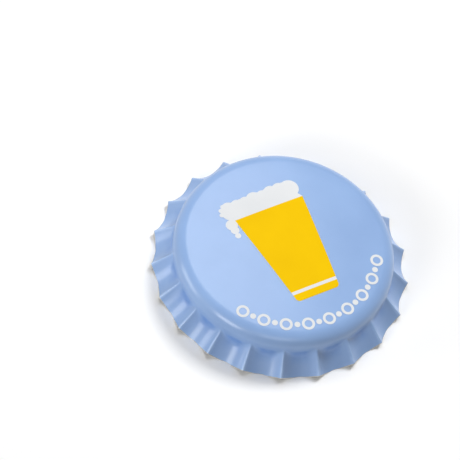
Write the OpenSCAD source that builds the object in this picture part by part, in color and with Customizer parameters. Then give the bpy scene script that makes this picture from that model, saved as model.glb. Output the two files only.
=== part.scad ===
// Crown cap: the pry-off steel cap of a glass bottle, as it comes from the
// press and before it is crimped.
//
// One disc of tinplate is drawn to a shallow cup. Its skirt is fluted by the
// same stroke, so the sheet keeps one thickness all round. A sealing disc is
// moulded inside it, and the panel carries two printed inks.
//
// The cap stands on the hem of its flutes, panel upwards. The origin is on its
// axis, at the level that it stands on, and +Z points up through the panel.
// All sizes are in millimetres and all angles in degrees.

/* [Crown] */
// Diameter over the tips of the teeth
crown_d = 32.1; // [31.4:0.1:33.4]
// Height from the hem that it stands on to the middle of the panel
crown_h = 6; // [5.7:0.05:6.6]
// Thickness of the tinplate
sheet_t = 0.24; // [0.18:0.01:0.3]

/* [Panel] */
// Radius of the shallow dome of the panel
dome_r = 170; // [120:5:300]
// Outer radius of the shoulder between the panel and the skirt
shoulder_r = 1.8; // [1.5:0.05:2.1]

/* [Mouth] */
// Inside diameter of the straight band that slips over the lip of the bottle
mouth_d = 26.75; // [26.4:0.05:27.1]
// Height of the straight band, on the outside
band_h = 0.4; // [0.3:0.05:0.6]

/* [Flutes] */
// Number of teeth round the skirt
tooth_count = 21; // [20:1:23]
// Turn of the first tooth from the X axis
tooth_turn = 9.3; // [0:0.1:17]
// Height of the tips of the teeth above the hem of the flutes
tip_lift = 0.8; // [0.5:0.05:1]
// How far the hem in the middle of a flute lies inside the tips
flute_in = 0.69; // [0.6:0.01:0.8]
// How far below the straight band the bottom of a flute begins
flute_drop = 1.2; // [0.8:0.05:1.5]
// Width that two flutes leave between them at the tip of a tooth
ridge_w = 0.1; // [0.05:0.05:0.4]
// Width of the flat that a flute stands on, measured along the radius
foot_w = 0.08; // [0.04:0.01:0.12]

/* [Sealing disc] */
// Thickness of the web in the middle
web_t = 0.25; // [0.2:0.01:0.35]
// Width of the sealing ring, across both beads
ring_w = 2.4; // [2.1:0.1:2.8]
// Distance from the straight band to the sealing ring
ring_inset = 0.7; // [0.6:0.05:0.9]
// Depth of the sealing ring below the sheet, at its inner edge
ring_h = 1; // [0.8:0.05:1.2]
// Radius of the two beads of the sealing ring
bead_r = 0.45; // [0.35:0.01:0.5]
// Clearance between the sealing disc and the sheet
seat_gap = 0.01; // [0.005:0.005:0.02]

/* [Print] */
// Thickness of an ink film
ink_t = 0.03; // [0.02:0.005:0.05]
// Turn of the printed figure from the X axis
print_turn = 41; // [0:1:90]
// Width of the glass at its rim
rim_w = 9.4; // [8.4:0.1:10]
// Width of the glass at its foot
base_w = 5.8; // [5:0.1:6.5]
// Height of the glass
glass_h = 13.1; // [12:0.1:13.5]
// Distance from the axis of the cap down to the foot of the glass
glass_drop = 7.8; // [7.4:0.1:8.2]
// Distance from the axis of the cap to the middle of the glass
glass_side = 0.35; // [0:0.05:0.8]
// Radius of the corners of the foot
base_round = 0.55; // [0.3:0.05:0.9]
// Height of the line across the glass, above its foot
line_rise = 1.2; // [1.1:0.1:2]
// Thickness of the line across the glass
line_w = 0.42; // [0.3:0.02:0.6]
// Height of the head of foam above the rim, at its right end
foam_h = 2.8; // [2.6:0.05:3]
// How much lower the head of foam is at its left end
foam_fall = 0.3; // [0.1:0.05:0.5]
// How far the foam hangs over the left of the rim
foam_over = 1.1; // [0.9:0.05:1.3]
// How far the foam bulges over the right of the rim
foam_out = 0.2; // [0.1:0.05:0.4]
// Radius of the two rounds at the ends of the head of foam
foam_end_r = 1.2; // [1.1:0.05:1.25]
// Number of lobes along the top of the foam
foam_lobes = 9; // [8:1:10]
// Radius of the largest lobe
lobe_r = 0.8; // [0.75:0.05:0.9]
// Radius of the bubbles that fill the notches between the lobes
froth_r = 0.3; // [0.25:0.01:0.35]
// Radius of the largest bubble that runs over the rim
spill_r = 0.75; // [0.6:0.05:0.9]
// Distance from the left end of the foam in to the middle of those bubbles
spill_in = 0.45; // [0.3:0.05:0.6]
// Number of rings in the row of bubbles
ring_count = 9; // [7:1:9]
// Distance from the edge of the panel in to the middle of the row of bubbles
row_in = 0.6; // [0.6:0.05:1]
// Angle between two neighbouring rings of the row
row_step = 14; // [13:0.5:15]
// Outer radius of a ring of the row
bubble_r = 0.8; // [0.6:0.05:0.85]
// Width of the line that draws a ring
bubble_line = 0.32; // [0.25:0.01:0.4]
// Radius of a dot of the row
dot_r = 0.36; // [0.25:0.01:0.45]

/* [Hidden] */
$fn = 168;

// The outside of the sheet, from the panel down. The shoulder stands a crease
// proud of the dome where it begins, so the dome ends in a faint edge.
tip_r = crown_d / 2;
wall_r = mouth_d / 2 + sheet_t;
dome_z = crown_h - dome_r;
shoulder_x = wall_r - shoulder_r;
crease = 0.01;
shoulder_z = dome_z + sqrt(pow(dome_r, 2) - pow(shoulder_x, 2)) - shoulder_r + crease;
band_z = shoulder_z - band_h;

// The slopes of the teeth and of the bottoms of the flutes, from the vertical
tooth_slope = atan((tip_r - wall_r) / (band_z - tip_lift));
flute_x = tip_r - flute_in;
flute_slope = atan((flute_x - wall_r) / (band_z - flute_drop));

// The round that presses a flute reaches from the bottom of the flute to the
// tips of the two teeth beside it
half_pitch = 180 / tooth_count;
flute_half = tip_r * sin(half_pitch) - ridge_w / 2;
flute_bottom = flute_x - tip_lift * tan(flute_slope);
flute_depth = (tip_r * cos(half_pitch) - flute_bottom) * cos(flute_slope);
flute_r = (pow(flute_half, 2) + pow(flute_depth, 2)) / (2 * flute_depth);

// A cut reaches this far past what it cuts
over = 1;
flute_len = band_z / cos(flute_slope) + over;

// Where the beads of the sealing ring lie
ring_out_r = mouth_d / 2 - ring_inset;
ring_in_r = ring_out_r - ring_w;
bead_z = dome_z + sqrt(pow(dome_r - sheet_t, 2) - pow(ring_in_r, 2)) - ring_h + bead_r;

// The lobes of the foam swell and shrink in turn by a share of their radius, froth
// sits on the round of the left end at these angles, and each bubble that runs
// over the rim is a share of the one above it
lobe_sway = 0.3;
end_froth = [118, 148, 178];
lobe_step = 70;
spill_share = 0.7;
spill_step = 1.1;

// The slope of the side of the glass, from the vertical
side_slope = atan((rim_w - base_w) / 2 / glass_h);

// The panel, shoulder and straight band, inset square to the outside of the
// sheet, down to the level foot_z
module cup_outline(inset, foot_z) {
    intersection() {
        translate([0, dome_z])
            circle(r = dome_r - inset, $fn = 256);
        union() {
            polygon([
                [0, foot_z],
                [wall_r - inset, foot_z],
                [wall_r - inset, shoulder_z],
                [shoulder_x, shoulder_z],
                [shoulder_x, crown_h + over],
                [0, crown_h + over]
            ]);
            translate([shoulder_x, shoulder_z])
                circle(r = shoulder_r - inset);
        }
    }
}

// The cone of the teeth, down to the hem that the press cuts
module teeth_outside() {
    polygon([
        [0, 0],
        [flute_x + foot_w, 0],
        [tip_r, tip_lift],
        [wall_r, band_z],
        [0, band_z]
    ]);
}

// The same cone one sheet further in, cut through past the hem
module teeth_inside() {
    top_x = wall_r - sheet_t / cos(tooth_slope);
    polygon([
        [0, -over],
        [top_x + (band_z + over) * tan(tooth_slope), -over],
        [top_x, band_z],
        [0, band_z]
    ]);
}

// The rounds that press the flutes, each between two teeth and deep enough to
// clear their tips
module flute_rounds(inset) {
    for (i = [0 : tooth_count - 1])
        rotate(tooth_turn + (2 * i + 1) * half_pitch)
            translate([flute_x, 0, 0])
                rotate([0, -flute_slope, 0])
                    translate([0, 0, -flute_r])
                        linear_extrude(flute_r + flute_len)
                            intersection() {
                                translate([flute_r, 0])
                                    circle(r = flute_r + inset);
                                translate([-over, -flute_r])
                                    square([flute_depth + 2 * over, 2 * flute_r]);
                            }
}

// Drawn cup of lacquered tinplate with its fluted skirt
module shell() {
    color([0.68, 0.78, 0.92])
        difference() {
            union() {
                rotate_extrude()
                    cup_outline(0, 0);
                difference() {
                    rotate_extrude()
                        teeth_outside();
                    flute_rounds(0);
                }
            }
            rotate_extrude()
                cup_outline(sheet_t, -over);
            difference() {
                rotate_extrude()
                    teeth_inside();
                flute_rounds(sheet_t);
            }
        }
}

// Sealing disc, moulded against the underside of the panel
module liner() {
    color([0.9, 0.9, 0.87])
        rotate_extrude()
            intersection() {
                cup_outline(sheet_t + seat_gap, 0);
                liner_outline();
            }
}

// The web and the sealing ring, with a bead along each edge of the ring
module liner_outline() {
    difference() {
        square([ring_out_r, crown_h]);
        translate([0, dome_z])
            circle(r = dome_r - sheet_t - seat_gap - web_t, $fn = 256);
    }
    translate([ring_in_r, bead_z])
        square([ring_out_r - ring_in_r, crown_h - bead_z]);
    for (x = [ring_in_r + bead_r, ring_out_r - bead_r])
        translate([x, bead_z])
            circle(r = bead_r, $fn = 48);
}

// A film of ink that follows the panel, as wide as the flat figure below it
module ink_film() {
    intersection() {
        rotate_extrude()
            difference() {
                cup_outline(-ink_t, shoulder_z - over);
                cup_outline(0, shoulder_z - 2 * over);
            }
        translate([0, 0, shoulder_z])
            linear_extrude(crown_h)
                rotate(print_turn)
                    children();
    }
}

// Yellow: the beer in the glass
module yellow_ink() {
    color([0.96, 0.78, 0.03])
        ink_film()
            difference() {
                glass_figure();
                glass_line();
            }
}

// White: the head of foam, the line across the glass and the row of bubbles
module white_ink() {
    color([0.93, 0.94, 0.95])
        ink_film() {
            difference() {
                foam_figure();
                glass_figure();
            }
            intersection() {
                glass_figure();
                glass_line();
            }
            bubble_row();
        }
}

// Points along an arc, from one angle to another
function arc(x, y, r, from, to, steps = 6) = [
    for (i = [0 : steps])
        let (a = from + (to - from) * i / steps)
            [x + r * cos(a), y + r * sin(a)]
];

// A tumbler seen from the side, its foot rounded at both corners
module glass_figure() {
    corner_x = base_w / 2 + base_round * (tan(side_slope) - 1 / cos(side_slope));
    translate([glass_side, -glass_drop])
        polygon(concat(
            arc(-corner_x, base_round, base_round, 180 + side_slope, 270),
            arc(corner_x, base_round, base_round, -90, -side_slope),
            [[rim_w / 2, glass_h], [-rim_w / 2, glass_h]]
        ));
}

// The strip across the glass, just above its foot
module glass_line() {
    translate([glass_side - rim_w / 2, line_rise - glass_drop - line_w / 2])
        square([rim_w, line_w]);
}

// A head of foam, round at both ends and lobed along its top, with a few bubbles
// that run over the rim
module foam_figure() {
    left = -rim_w / 2 - foam_over;
    right = rim_w / 2 + foam_out;
    low = foam_h - foam_fall;
    pitch = (right - left) / foam_lobes;
    translate([glass_side, glass_h - glass_drop]) {
        polygon([
            [left + spill_in, 0],
            [rim_w / 2, 0],
            [right - foam_end_r, foam_h - foam_end_r],
            [right - foam_end_r, foam_h - lobe_r],
            [left + foam_end_r, low - lobe_r],
            [left + foam_end_r, low - foam_end_r]
        ]);
        translate([left + foam_end_r, low - foam_end_r])
            circle(r = foam_end_r, $fn = 48);
        translate([right - foam_end_r, foam_h - foam_end_r])
            circle(r = foam_end_r, $fn = 48);
        for (i = [1 : foam_lobes - 1])
            translate([left + i * pitch, low + foam_fall * i / foam_lobes - lobe_r])
                circle(r = lobe_r * (1 + lobe_sway * pow(sin(lobe_step * i), 2)), $fn = 48);
        for (i = [1.5 : foam_lobes - 1.5])
            translate([left + i * pitch, low + foam_fall * i / foam_lobes - froth_r])
                circle(r = froth_r, $fn = 48);
        for (a = end_froth)
            translate([left + foam_end_r * (1 + cos(a)), low - foam_end_r * (1 - sin(a))])
                circle(r = froth_r, $fn = 48);
        for (k = [0 : 2])
            translate([left + spill_in, -spill_step * spill_r * (k + 0.5)])
                circle(r = spill_r * pow(spill_share, k), $fn = 48);
    }
}

// Rings and dots by turns, on an arc below the glass
module bubble_row() {
    for (i = [0 : ring_count - 1])
        rotate(-90 + (i - (ring_count - 1) / 2) * row_step)
            translate([shoulder_x - row_in, 0])
                difference() {
                    circle(r = bubble_r, $fn = 48);
                    circle(r = bubble_r - bubble_line, $fn = 48);
                }
    for (i = [0 : ring_count - 2])
        rotate(-90 + (i + 0.5 - (ring_count - 1) / 2) * row_step)
            translate([shoulder_x - row_in, 0])
                circle(r = dot_r, $fn = 32);
}

shell();
liner();
yellow_ink();
white_ink();
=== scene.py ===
import math

import bpy
import numpy as np
from mathutils import Matrix, Vector
from mathutils.geometry import delaunay_2d_cdt


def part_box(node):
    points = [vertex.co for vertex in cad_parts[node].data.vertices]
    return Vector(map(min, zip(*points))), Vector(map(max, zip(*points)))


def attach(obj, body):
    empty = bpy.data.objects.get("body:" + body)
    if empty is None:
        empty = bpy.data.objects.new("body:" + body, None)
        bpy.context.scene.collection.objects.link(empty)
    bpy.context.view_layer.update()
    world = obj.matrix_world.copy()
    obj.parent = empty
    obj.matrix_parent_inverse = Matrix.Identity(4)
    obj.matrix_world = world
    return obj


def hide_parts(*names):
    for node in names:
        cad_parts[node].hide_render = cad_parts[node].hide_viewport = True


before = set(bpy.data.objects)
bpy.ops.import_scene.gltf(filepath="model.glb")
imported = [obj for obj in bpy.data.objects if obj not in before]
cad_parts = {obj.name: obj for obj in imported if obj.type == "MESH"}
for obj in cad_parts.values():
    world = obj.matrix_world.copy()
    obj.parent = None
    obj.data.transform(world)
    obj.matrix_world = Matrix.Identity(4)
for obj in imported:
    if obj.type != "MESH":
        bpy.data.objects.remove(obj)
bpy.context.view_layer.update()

# ---- Shell ----
# The one piece of metal: a disc of tinplate that a press draws to a shallow cup
# and flutes in the same stroke. It is lacquered light blue outside and clear
# inside while it is still flat, so only the cut edge of the hem is bare.
mm = 0.001
crown_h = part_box("shell")[1].z
tip_r = 16.05 * mm
wall_r = 13.615 * mm
sheet_t = 0.24 * mm
dome_r = 170 * mm
shoulder_r = 1.8 * mm
band_h = 0.4 * mm

tooth_count = 21
tooth_turn = math.radians(9.3)
half_pitch = math.pi / tooth_count
tip_lift = 0.8 * mm
flute_in = 0.69 * mm
flute_drop = 1.2 * mm
foot_w = 0.08 * mm

dome_z = crown_h - dome_r
shoulder_x = wall_r - shoulder_r
shoulder_z = dome_z + math.sqrt((dome_r - shoulder_r) ** 2 - shoulder_x**2)
panel_r = shoulder_x * dome_r / (dome_r - shoulder_r)
band_z = shoulder_z - band_h
tooth_spread = (tip_r - wall_r) / (band_z - tip_lift)
flute_x = tip_r - flute_in
flute_slope = math.atan((flute_x - wall_r) / (band_z - flute_drop))
flute_half = tip_r * math.sin(half_pitch)
flute_bottom = flute_x - tip_lift * math.tan(flute_slope)
flute_depth = (tip_r * math.cos(half_pitch) - flute_bottom) * math.cos(flute_slope)
flute_r = (flute_half**2 + flute_depth**2) / (2 * flute_depth)

# The skirt flares like a bell: halfway down it lies this far inside a straight line
flare = 0.04 * mm
# Wherever two pressed surfaces meet, the sheet bends over a corner this wide
ridge_soft = 0.2 * mm
band_soft = 0.25 * mm
hem_soft = 0.04 * mm
# The cut edge of the hem is rounded over this height on both sides
hem_round = 0.06 * mm
# The height of the hem is found by halving, from this far below the ground
hem_below = 0.2 * mm
halvings = 40

# How finely the shell is divided: round the axis, along its outside, along its
# inside and round each corner of the hem
columns = 40 * tooth_count
outer_steps = {"dome": 10, "shoulder": 14, "skirt": 36}
inner_steps = {"dome": 6, "shoulder": 8, "skirt": 20}
hem_steps = 4


def blend_min(a, b, width):
    """The lower of a and b, with the corner between them rounded over width."""
    near = np.maximum(width - np.abs(a - b), 0) / width
    return np.minimum(a, b) - near**2 * width / 4


def flute_wall(angle, z):
    """Radius at height z of the round that presses a flute, at an angle off its middle."""
    run = np.cos(angle) * math.cos(flute_slope)
    back = flute_x * math.cos(flute_slope) + flute_r - z * math.sin(flute_slope)
    square = run**2 + np.sin(angle) ** 2
    reach = (run * back) ** 2 - square * (back**2 - flute_r**2)
    near = (run * back - np.sqrt(np.maximum(reach, 0))) / square
    return np.where(reach > 0, near, 2 * tip_r)


def skirt_outside(theta, z):
    """Radius of the outside of the skirt and the straight band, at an angle and a height."""
    pitch = 2 * half_pitch
    angle = np.abs((theta - tooth_turn) % pitch - half_pitch)
    fluted = blend_min(flute_wall(angle, z), flute_wall(pitch - angle, z), ridge_soft)
    cone = wall_r + (band_z - z) * tooth_spread
    down = np.clip((band_z - z) / band_z, 0, 1)
    pressed = blend_min(fluted, cone, ridge_soft) - 4 * flare * down * (1 - down)
    return -blend_min(-pressed, -wall_r, band_soft)


def skirt_inside(theta, z):
    """The same surface, one sheet further in and square to it."""
    step = 0.01 * mm
    turn = step / wall_r
    along = (skirt_outside(theta, z + step) - skirt_outside(theta, z - step)) / (2 * step)
    across = skirt_outside(theta + turn, z) - skirt_outside(theta - turn, z)
    radius = skirt_outside(theta, z)
    across = across / (2 * turn * radius)
    return radius - sheet_t * np.sqrt(1 + along**2 + across**2)


def hem_level(theta, surface):
    """Height at which the cone that the press cuts the hem to meets a surface of the skirt."""
    steep = tip_lift / (flute_in - foot_w)
    low = np.full_like(theta, -hem_below)
    high = np.full_like(theta, 2 * tip_lift)
    for _ in range(halvings):
        z = (low + high) / 2
        cut = -blend_min(-(surface(theta, z) - flute_x - foot_w) * steep, 0, hem_soft)
        low = np.where(z < cut, z, low)
        high = np.where(z < cut, high, z)
    return z


def ring(theta, radius, z):
    """One closed ring of points round the axis."""
    radius = radius + 0 * theta
    return np.stack([radius * np.cos(theta), radius * np.sin(theta), z + 0 * theta], 1)


def cup_rings(theta, inset, steps):
    """Rings of the panel and the shoulder, from beside the axis out to the straight band."""
    dome = dome_r - inset
    edge = panel_r / dome_r
    rings = []
    for i in range(1, steps["dome"] + 1):
        r = dome * edge * i / steps["dome"]
        rings.append(ring(theta, r, dome_z + math.sqrt(dome**2 - r**2)))
    start = math.asin(edge)
    for i in range(1, steps["shoulder"] + 1):
        a = start + (math.pi / 2 - start) * i / steps["shoulder"]
        r = shoulder_x + (shoulder_r - inset) * math.sin(a)
        rings.append(ring(theta, r, shoulder_z + (shoulder_r - inset) * math.cos(a)))
    return rings


def skirt_rings(theta, surface, hem_z, steps):
    """Rings of the skirt, from just under the shoulder down to the hem."""
    rings = []
    for i in range(1, steps["skirt"] + 1):
        z = shoulder_z + (hem_z - shoulder_z) * i / steps["skirt"]
        rings.append(ring(theta, surface(theta, z), z))
    return rings


def rounded(before, corner, after):
    """Rings that round a corner of the hem, from one ring to another."""
    shares = [i / hem_steps for i in range(1, hem_steps)]
    return [(1 - t) ** 2 * before + 2 * t * (1 - t) * corner + t**2 * after for t in shares]


def closed_mesh(name, top, rings, bottom):
    """A mesh from a point on the axis through rings of equal count to a point on the axis."""
    count = len(rings[0])
    points = np.concatenate([[top], *rings, [bottom]])
    here = np.arange(count)
    after = (here + 1) % count
    faces = [(0, 1 + a, 1 + b) for a, b in zip(here, after)]
    for k in range(len(rings) - 1):
        upper = 1 + k * count
        lower = upper + count
        faces += [(upper + a, lower + a, lower + b, upper + b) for a, b in zip(here, after)]
    last = 1 + (len(rings) - 1) * count
    faces += [(last + a, len(points) - 1, last + b) for a, b in zip(here, after)]
    mesh = bpy.data.meshes.new(name)
    mesh.from_pydata(points.tolist(), [], [tuple(int(v) for v in f) for f in faces])
    mesh.shade_smooth()
    piece = bpy.data.objects.new(name, mesh)
    bpy.context.scene.collection.objects.link(piece)
    return piece


theta = tooth_turn + np.arange(columns) * 2 * math.pi / columns
outer_hem = hem_level(theta, skirt_outside)
inner_hem = hem_level(theta, skirt_inside)
outer_corner = ring(theta, skirt_outside(theta, outer_hem), outer_hem)
inner_corner = ring(theta, skirt_inside(theta, inner_hem), inner_hem)
inward = inner_corner - outer_corner
inward *= hem_round / np.linalg.norm(inward, axis=1, keepdims=True)

outer_rings = cup_rings(theta, 0, outer_steps)
outer_rings += skirt_rings(theta, skirt_outside, outer_hem + hem_round, outer_steps)
inner_rings = cup_rings(theta, sheet_t, inner_steps)
inner_rings += skirt_rings(theta, skirt_inside, inner_hem + hem_round, inner_steps)
hem_rings = rounded(outer_rings[-1], outer_corner, outer_corner + inward)
hem_rings += [outer_corner + inward, inner_corner - inward]
hem_rings += rounded(inner_corner - inward, inner_corner, inner_rings[-1])

shell = closed_mesh(
    "dressed_shell",
    (0, 0, crown_h),
    outer_rings + hem_rings + inner_rings[::-1],
    (0, 0, crown_h - sheet_t),
)


def ramp(values, start, end):
    """0 at start and before it, 1 at end and past it, and even in between."""
    return np.clip((values - start) / (end - start), 0, 1)


# Painted light and press marks on the skirt. It is paler along the ridges, most at the tips,
# which is partly a painted highlight and partly lacquer thinned where the press stretched the
# sheet. It is darker down the middle of the flutes, most where they begin, which is painted
# shade.
# Off the tooth counts from 0 on a ridge to 1 down the middle of a flute, and down from 0 at the
# straight band to 1 at the level that the cap stands on.
levels = np.array([v.co.z for v in shell.data.vertices])
angles = np.array([math.atan2(v.co.y, v.co.x) for v in shell.data.vertices])
off_tooth = np.abs((angles - tooth_turn + half_pitch) % (2 * half_pitch) - half_pitch)
off_tooth /= half_pitch
down = ramp(levels, band_z, 0)
marks_and_painted_light = {
    # paler on the ridges: partly a painted highlight, partly lacquer thinned by stretching
    "stretch": ramp(off_tooth, 1 / 7, 0) * down,
    # darker down the middle of the flutes where they begin: painted shade
    "painted_flute_shade": ramp(off_tooth, 0.3, 0.7) * ramp(down, 0, 1 / 8) * ramp(down, 0.65, 0.15),
}
for name, values in marks_and_painted_light.items():
    attribute = shell.data.attributes.new(name, "FLOAT", "POINT")
    attribute.data.foreach_set("value", values)


def feed(socket, value):
    """Links a socket from another one, or sets it to a plain value."""
    if isinstance(value, bpy.types.NodeSocket):
        socket.id_data.links.new(value, socket)
    else:
        socket.default_value = value


def arithmetic(nodes, operation, *values):
    """The result of a math node whose inputs are sockets or plain values."""
    node = nodes.new("ShaderNodeMath")
    node.operation = operation
    for socket, value in zip(node.inputs, values):
        feed(socket, value)
    return node.outputs[0]


def noise(nodes, scale, detail):
    """Noise that is fixed to the piece, with its scale counted per metre."""
    node = nodes.new("ShaderNodeTexNoise")
    feed(node.inputs["Vector"], nodes.new("ShaderNodeTexCoord").outputs["Object"])
    feed(node.inputs["Scale"], scale)
    feed(node.inputs["Detail"], detail)
    return node.outputs["Fac"]


def mixed(nodes, share, first, second):
    """A colour between two colours, by the share of the second."""
    node = nodes.new("ShaderNodeMix")
    node.data_type = "RGBA"
    feed(node.inputs["Factor"], share)
    feed(node.inputs["A"], first)
    feed(node.inputs["B"], second)
    return node.outputs["Result"]


def fine_surface():
    """Node group: the fine grain and slow waves of a thin coated surface, and its rubbing."""
    group = bpy.data.node_groups.new("fine_surface", "ShaderNodeTree")
    inputs = [("Grain size", 0.4), ("Waves", 0), ("Rub", 0.04), ("Roughness", 0.3)]
    for name, value in inputs:
        entry = group.interface.new_socket(name, in_out="INPUT", socket_type="NodeSocketFloat")
        entry.default_value = value
    for name in ("Height", "Roughness", "Tone"):
        group.interface.new_socket(name, in_out="OUTPUT", socket_type="NodeSocketFloat")
    nodes = group.nodes
    given = nodes.new("NodeGroupInput").outputs
    result = nodes.new("NodeGroupOutput").inputs

    grain = noise(nodes, arithmetic(nodes, "DIVIDE", 1 / mm, given["Grain size"]), 3)
    waves = noise(nodes, 0.22 / mm, 1)
    clouds = noise(nodes, 0.16 / mm, 4)
    swing = arithmetic(nodes, "SUBTRACT", clouds, 0.5)
    rubbed = arithmetic(nodes, "MULTIPLY_ADD", swing, given["Rub"], given["Roughness"])
    feed(result["Height"], arithmetic(nodes, "MULTIPLY_ADD", waves, given["Waves"], grain))
    feed(result["Roughness"], rubbed)
    feed(result["Tone"], clouds)
    return group


surface_group = fine_surface()


def finish(name, grain, rub, roughness, bump, waves=0):
    """A material whose Principled shader takes its roughness and bump from the fine surface."""
    material = bpy.data.materials.new(name)
    material.use_nodes = True
    nodes = material.node_tree.nodes
    surface = nodes.new("ShaderNodeGroup")
    surface.name = "fine_surface"
    surface.node_tree = surface_group
    given = {"Grain size": grain, "Waves": waves, "Rub": rub, "Roughness": roughness}
    for socket, value in given.items():
        feed(surface.inputs[socket], value)
    relief = nodes.new("ShaderNodeBump")
    feed(relief.inputs["Strength"], 1)
    feed(relief.inputs["Distance"], bump)
    feed(relief.inputs["Height"], surface.outputs["Height"])
    feed(nodes["Principled BSDF"].inputs["Roughness"], surface.outputs["Roughness"])
    feed(nodes["Principled BSDF"].inputs["Normal"], relief.outputs["Normal"])
    return material


def set_shader(material, values):
    """Sets inputs of the material's Principled shader, by their names."""
    for socket, value in values.items():
        feed(material.node_tree.nodes["Principled BSDF"].inputs[socket], value)


def tones(material, dark, light):
    """Colours the material between two tones, by the slow clouds of its fine surface."""
    nodes = material.node_tree.nodes
    tone = mixed(nodes, nodes["fine_surface"].outputs["Tone"], (*dark, 1), (*light, 1))
    set_shader(material, {"Base Color": tone})
    return tone


# The lacquer is paler along the ridges, partly lacquer thinned where the sheet was stretched
# and partly a painted highlight, and darker in the tops of the flutes, a painted shade, both in
# uneven patches
blue_lacquer = finish(
    "blue_lacquer", grain=0.45, rub=0.12, roughness=0.42, bump=0.008 * mm, waves=4.5
)
tone = tones(blue_lacquer, (0.21, 0.35, 0.64), (0.285, 0.45, 0.76))
nodes = blue_lacquer.node_tree.nodes
patches = arithmetic(nodes, "MULTIPLY", noise(nodes, 0.9 / mm, 3), 2)
# the paler tone on the ridges is partly a painted highlight, the deeper tone in the flutes is
# painted shade
for name, painted_light_tone in [("stretch", (0.42, 0.60, 0.90)), ("painted_flute_shade", (0.15, 0.30, 0.66))]:
    amount = nodes.new("ShaderNodeAttribute")
    amount.attribute_name = name
    share = arithmetic(nodes, "MULTIPLY", amount.outputs["Fac"], patches)
    tone = mixed(nodes, share, tone, (*painted_light_tone, 1))
set_shader(
    blue_lacquer,
    {
        "Base Color": tone,
        "Specular IOR Level": 0.45,
        "Coat Weight": 0.6,
        "Coat Roughness": 0.2,
    },
)

cut_edge = finish("cut_edge", grain=0.08, rub=0.15, roughness=0.38, bump=0.006 * mm)
tones(cut_edge, (0.36, 0.35, 0.32), (0.58, 0.57, 0.52))
set_shader(cut_edge, {"Metallic": 1})

clear_lacquer = finish("clear_lacquer", grain=0.3, rub=0.1, roughness=0.24, bump=0.003 * mm)
tones(clear_lacquer, (0.60, 0.57, 0.47), (0.68, 0.65, 0.55))
set_shader(clear_lacquer, {"Metallic": 1})

for material in (blue_lacquer, cut_edge, clear_lacquer):
    shell.data.materials.append(material)
band_of = np.zeros(len(shell.data.polygons), np.int32)
outside_faces = columns * len(outer_rings)
hem_faces = columns * (len(hem_rings) + 1)
band_of[outside_faces : outside_faces + hem_faces] = 1
band_of[outside_faces + hem_faces :] = 2
shell.data.polygons.foreach_set("material_index", band_of)

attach(shell, "root")
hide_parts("shell")

# ---- Sealing disc ----
# Soft compound, dosed into the cup as a pellet and moulded hot against the
# panel: a thin web with a ring that two beads run along, pressed on the lip.
seat_gap = 0.01 * mm
web_t = 0.25 * mm
ring_inset = 0.7 * mm
ring_w = 2.4 * mm
ring_out_r = wall_r - sheet_t - ring_inset
ring_in_r = ring_out_r - ring_w
bead_r = 0.45 * mm
bead_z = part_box("liner")[0].z + bead_r
disc_columns = 360
disc_theta = np.arange(disc_columns) * 2 * math.pi / disc_columns
seat_steps = 8
bead_steps = 16
web_steps = 10


def dome_height(r, inset):
    """Height of the panel at a radius, inset square to its outside."""
    return dome_z + math.sqrt((dome_r - inset) ** 2 - r**2)


seat = sheet_t + seat_gap
disc_rings = []
for i in range(1, seat_steps + 1):
    r = ring_out_r * i / seat_steps
    disc_rings.append(ring(disc_theta, r, dome_height(r, seat)))

# Down the outside of the ring, round both beads, and up its inside to the web,
# which it meets over a fillet: how far in and how far below the web, in mm
web_fillet = [(0, 0.12), (0.05, 0.03), (0.14, 0)]
web_z = dome_height(ring_in_r, seat + web_t)
outline = [(ring_out_r, bead_z + bead_r)]
for x in (ring_out_r - bead_r, ring_in_r + bead_r):
    for i in range(bead_steps + 1):
        a = -math.pi * i / bead_steps
        outline.append((x + bead_r * math.cos(a), bead_z + bead_r * math.sin(a)))
outline += [(ring_in_r - x * mm, web_z - z * mm) for x, z in web_fillet]
disc_rings += [ring(disc_theta, r, z) for r, z in outline]

for i in range(web_steps - 1, 0, -1):
    r = ring_in_r * i / web_steps
    disc_rings.append(ring(disc_theta, r, dome_height(r, seat + web_t)))
sealing_disc = closed_mesh(
    "sealing_disc",
    (0, 0, dome_height(0, seat)),
    disc_rings,
    (0, 0, dome_height(0, seat + web_t)),
)
sealing_compound = finish(
    "sealing_compound", grain=0.25, rub=0.1, roughness=0.42, bump=0.004 * mm
)
tones(sealing_compound, (0.71, 0.73, 0.67), (0.79, 0.80, 0.75))
sealing_disc.data.materials.append(sealing_compound)
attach(sealing_disc, "root")
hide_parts("liner")

# ---- Printed inks ----
# Two inks, rolled onto the flat sheet before it is pressed: yellow for the beer
# in the glass, and white for its foam, for the line across it and for the row
# of bubbles along the edge of the panel. Each lies as a thin film.
ink_t = 0.03 * mm
print_turn = math.radians(41)
rim_w = 9.4 * mm
base_w = 5.8 * mm
glass_h = 13.1 * mm
glass_drop = 7.8 * mm
glass_side = 0.35 * mm
base_round = 0.55 * mm
line_rise = 1.2 * mm
line_w = 0.42 * mm

# The head of foam is round at both ends and falls a little to the left. Lobes that
# sway in size run along its top with froth between them, and more froth runs round
# its left end, where bubbles spill over the rim.
foam_h = 2.8 * mm
foam_fall = 0.3 * mm
foam_over = 1.1 * mm
foam_out = 0.2 * mm
foam_end_r = 1.2 * mm
foam_lobes = 9
lobe_r = 0.8 * mm
lobe_sway = 0.3
lobe_step = math.radians(70)
froth_r = 0.3 * mm
end_froth = [math.radians(a) for a in (118, 148, 178)]
spill_count = 3
spill_r = 0.75 * mm
spill_in = 0.45 * mm
spill_share = 0.7
spill_step = 1.1

# The row of bubbles is rings and dots by turns
ring_count = 9
row_in = 0.6 * mm
row_r = shoulder_x - row_in
row_step = math.radians(14)
bubble_r = 0.8 * mm
bubble_line = 0.32 * mm
dot_r = 0.36 * mm

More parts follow.
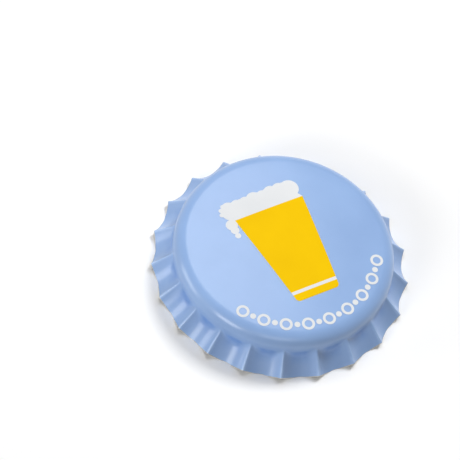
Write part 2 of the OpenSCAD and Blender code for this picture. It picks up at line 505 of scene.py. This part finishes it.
# How finely the print is divided: round the corners of the foot, round a bubble,
# round a dot and along everything that is longer than one step
corner_steps = 12
bubble_steps = 96
dot_steps = 48
fill_step = 0.45 * mm


def arc(x, y, r, start, end, steps):
    """Points along an arc, from one angle to another."""
    angles = [start + (end - start) * i / steps for i in range(steps + 1)]
    return [(x + r * math.cos(a), y + r * math.sin(a)) for a in angles]


def disc(x, y, r, steps=bubble_steps):
    """Points round a full circle."""
    return arc(x, y, r, 0, 2 * math.pi, steps)[:-1]


def stepped(outline, step):
    """The same outline with more points, so that no stretch of it is longer than step."""
    result = []
    for (x0, y0), (x1, y1) in zip(outline, outline[1:] + outline[:1]):
        count = math.ceil(math.hypot(x1 - x0, y1 - y0) / step)
        shares = [i / count for i in range(count)]
        result += [(x0 + (x1 - x0) * t, y0 + (y1 - y0) * t) for t in shares]
    return result


def box_2d(left, low, right, high):
    """The corners of an upright rectangle."""
    return [(left, low), (right, low), (right, high), (left, high)]


# The glass with its rounded foot, and the line across it
foot = -glass_drop
rim = glass_h - glass_drop
side_slope = math.atan((rim_w - base_w) / 2 / glass_h)
corner_x = base_w / 2 + base_round * (math.tan(side_slope) - 1 / math.cos(side_slope))
glass = arc(glass_side - corner_x, foot + base_round, base_round,
            math.pi + side_slope, 1.5 * math.pi, corner_steps)
glass += arc(glass_side + corner_x, foot + base_round, base_round,
             -math.pi / 2, -side_slope, corner_steps)
glass += [(glass_side + rim_w / 2, rim), (glass_side - rim_w / 2, rim)]
line_y = foot + line_rise
line = box_2d(glass_side - rim_w / 2, line_y - line_w / 2,
              glass_side + rim_w / 2, line_y + line_w / 2)

# The foam: its middle, its two ends, its lobes and froth, and the spill
left = glass_side - rim_w / 2 - foam_over
right = glass_side + rim_w / 2 + foam_out
low = foam_h - foam_fall
end_left, end_right = left + foam_end_r, right - foam_end_r
foam = [[(left + spill_in, rim), (glass_side + rim_w / 2, rim),
         (end_right, rim + foam_h - foam_end_r), (end_right, rim + foam_h - lobe_r),
         (end_left, rim + low - lobe_r), (end_left, rim + low - foam_end_r)]]
foam.append(disc(end_left, rim + low - foam_end_r, foam_end_r))
foam.append(disc(end_right, rim + foam_h - foam_end_r, foam_end_r))
for i in range(2, 2 * foam_lobes - 1):
    share = i / (2 * foam_lobes)
    x = left + share * (right - left)
    top = rim + low + foam_fall * share
    if i % 2:
        foam.append(disc(x, top - froth_r, froth_r))
    else:
        r = lobe_r * (1 + lobe_sway * math.sin(lobe_step * i / 2) ** 2)
        foam.append(disc(x, top - lobe_r, r))
for a in end_froth:
    foam.append(disc(end_left + foam_end_r * math.cos(a),
                     rim + low - foam_end_r * (1 - math.sin(a)), froth_r))
for k in range(spill_count):
    foam.append(disc(left + spill_in, rim - spill_step * spill_r * (k + 0.5),
                     spill_r * spill_share**k))

ring_edges, ring_holes, dots = [], [], []
for i in range(2 * ring_count - 1):
    a = -math.pi / 2 + (i / 2 - (ring_count - 1) / 2) * row_step
    x, y = row_r * math.cos(a), row_r * math.sin(a)
    if i % 2:
        dots.append(disc(x, y, dot_r, dot_steps))
    else:
        ring_edges.append(disc(x, y, bubble_r))
        ring_holes.append(disc(x, y, bubble_r - bubble_line))

fields = {"glass": [glass], "line": [line], "foam": foam,
          "edge": ring_edges, "hole": ring_holes, "dot": dots}

# One flat mesh holds every outline, and points in between let the films bend with
# the panel. Each of its faces knows which outlines it lies in.
points, outlines, field_of = [], [], []
for field, shapes in fields.items():
    for shape in shapes:
        shape = stepped(shape, fill_step)
        outlines.append(list(range(len(points), len(points) + len(shape))))
        points += shape
        field_of.append(field)
fill = np.arange(-panel_r, panel_r, fill_step)
points += [(x, y) for x in fill for y in fill if math.hypot(x, y) < panel_r]
flat = delaunay_2d_cdt([Vector(p) for p in points], [], outlines, 1, 1e-7)
flat_points, flat_faces, flat_shapes = flat[0], flat[2], flat[5]


def cup_height(r):
    """Height of the outside of the cup at a radius, over the panel and the shoulder."""
    if r <= panel_r:
        return dome_height(r, 0)
    return shoulder_z + math.sqrt(shoulder_r**2 - (r - shoulder_x) ** 2)


def ink_film(name, inked):
    """The fields that an ink covers, as a closed film on the outside of the cup."""
    faces = []
    for face, shapes in zip(flat_faces, flat_shapes):
        if inked({field_of[s] for s in shapes}):
            faces.append(list(face))
    used = sorted({v for face in faces for v in face})
    index = {v: i for i, v in enumerate(used)}
    count = len(used)
    spin = Matrix.Rotation(print_turn, 2)
    low, top = [], []
    for v in used:
        x, y = spin @ flat_points[v]
        z = cup_height(math.hypot(x, y))
        low.append((x, y, z))
        top.append((x, y, z + ink_t))
    faces = [[index[v] for v in face] for face in faces]
    sides = {(face[i - 1], face[i]) for face in faces for i in range(len(face))}
    walls = [(a, b, b + count, a + count) for a, b in sorted(sides) if (b, a) not in sides]
    shown = [[v + count for v in face] for face in faces]
    hidden = [face[::-1] for face in faces]
    mesh = bpy.data.meshes.new(name)
    mesh.from_pydata(low + top, [], shown + hidden + walls)
    mesh.update()
    piece = bpy.data.objects.new(name, mesh)
    bpy.context.scene.collection.objects.link(piece)
    return piece


yellow_print = ink_film("yellow_print", lambda on: "glass" in on and "line" not in on)
white_print = ink_film(
    "white_print",
    lambda on: ("foam" in on and "glass" not in on)
    or ("glass" in on and "line" in on)
    or ("edge" in on and "hole" not in on)
    or "dot" in on,
)
yellow_ink = finish("yellow_ink", grain=0.3, rub=0.1, roughness=0.42, bump=0.005 * mm)
tones(yellow_ink, (0.85, 0.51, 0.001), (0.98, 0.63, 0.003))
white_ink = finish("white_ink", grain=0.3, rub=0.1, roughness=0.42, bump=0.005 * mm)
tones(white_ink, (0.72, 0.74, 0.76), (0.85, 0.86, 0.87))
for piece, material, node in [
    (yellow_print, yellow_ink, "yellow_ink"),
    (white_print, white_ink, "white_ink"),
]:
    set_shader(material, {"Specular IOR Level": 0.03})
    piece.data.materials.append(material)
    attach(piece, "root")
    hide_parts(node)

# ---- Ground ----
# A plain pale sheet that the cap lies on. It takes the soft shadow of the cap,
# and where no shadow falls it is as white as the backdrop.
ground_w = 3
ground_tone = 0.63


def seen_directly(nodes):
    """1 for a ray that the camera sees, or sees in a mirror or through glass, and else 0."""
    ray = nodes.new("ShaderNodeLightPath").outputs
    seen = ray["Is Camera Ray"]
    for kind in ("Is Glossy Ray", "Is Transmission Ray"):
        seen = arithmetic(nodes, "MAXIMUM", seen, ray[kind])
    return seen


def whiten(tree, plain, white_kind, output):
    """Makes a surface or a backdrop plain white where it is seen directly."""
    white = tree.nodes.new(white_kind)
    feed(white.inputs["Color"], (1, 1, 1, 1))
    pick = tree.nodes.new("ShaderNodeMixShader")
    feed(pick.inputs["Fac"], seen_directly(tree.nodes))
    feed(pick.inputs[1], tree.nodes[plain].outputs[0])
    feed(pick.inputs[2], white.outputs[0])
    feed(tree.nodes[output].inputs["Surface"], pick.outputs[0])


corners = [(-1, -1), (1, -1), (1, 1), (-1, 1)]
ground_mesh = bpy.data.meshes.new("ground")
ground_mesh.from_pydata(
    [(x * ground_w / 2, y * ground_w / 2, 0) for x, y in corners], [], [(0, 1, 2, 3)]
)
ground = bpy.data.objects.new("ground", ground_mesh)
bpy.context.scene.collection.objects.link(ground)
paper = bpy.data.materials.new("pale_paper")
paper.use_nodes = True
set_shader(
    paper,
    {
        "Base Color": (ground_tone, ground_tone, ground_tone, 1),
        "Roughness": 0.9,
        "Specular IOR Level": 0,
    },
)
whiten(paper.node_tree, "Principled BSDF", "ShaderNodeBsdfDiffuse", "Material Output")
ground.data.materials.append(paper)

# ---- Light ----
# A key lamp from behind right makes the shadow, and a soft window behind is what
# the panel mirrors. Three low lamps fill the flutes from the left and the front.
scene = bpy.context.scene
scene.view_settings.view_transform = "Standard"
world = bpy.data.worlds.new("studio")
scene.world = world
world.use_nodes = True
backdrop = world.node_tree.nodes["Background"]
feed(backdrop.inputs["Color"], (1, 1, 1, 1))
feed(backdrop.inputs["Strength"], 0.05)
whiten(world.node_tree, "Background", "ShaderNodeBackground", "World Output")


def lamp(name, azimuth, elevation, distance, width, power):
    """A square soft lamp that looks at the cap, from an azimuth counted from +X."""
    data = bpy.data.lights.new(name, "AREA")
    data.size = width
    data.energy = power
    light = bpy.data.objects.new(name, data)
    scene.collection.objects.link(light)
    a, e = math.radians(azimuth), math.radians(elevation)
    back = Vector((math.cos(e) * math.cos(a), math.cos(e) * math.sin(a), math.sin(e)))
    light.location = back * distance
    light.rotation_euler = back.to_track_quat("Z", "Y").to_euler()
    return light


key = lamp("key", azimuth=64, elevation=48, distance=0.6, width=0.15, power=2.3)
key.visible_glossy = False
lamp("window", azimuth=113, elevation=60, distance=0.7, width=0.34, power=1.6)
lamp("left", azimuth=195, elevation=12, distance=0.7, width=0.3, power=1.4)
lamp("side", azimuth=240, elevation=24, distance=0.7, width=0.25, power=1.6)
lamp("front", azimuth=285, elevation=35, distance=0.7, width=0.3, power=0.6)

# ---- Camera ----
# A long lens from the front, high up and rolled a little, as one holds a camera
# over a bench. The cap lies a little right of the middle of the view and below it.
view_elevation = math.radians(57.3)
view_roll = math.radians(15.8)
view_distance = 0.4899
view_left = 6.11 * mm
view_up = 4.28 * mm
camera_data = bpy.data.cameras.new("camera")
camera_data.sensor_width = 36
camera_data.lens = 313
camera = bpy.data.objects.new("camera", camera_data)
scene.collection.objects.link(camera)
pitch = Matrix.Rotation(math.pi / 2 - view_elevation, 3, "X")
turn = pitch @ Matrix.Rotation(view_roll, 3, "Z")
place = turn @ Vector((-view_left, view_up, view_distance)) + Vector((0, 0, tip_lift))
camera.matrix_world = Matrix.Translation(place) @ turn.to_4x4()
scene.camera = camera
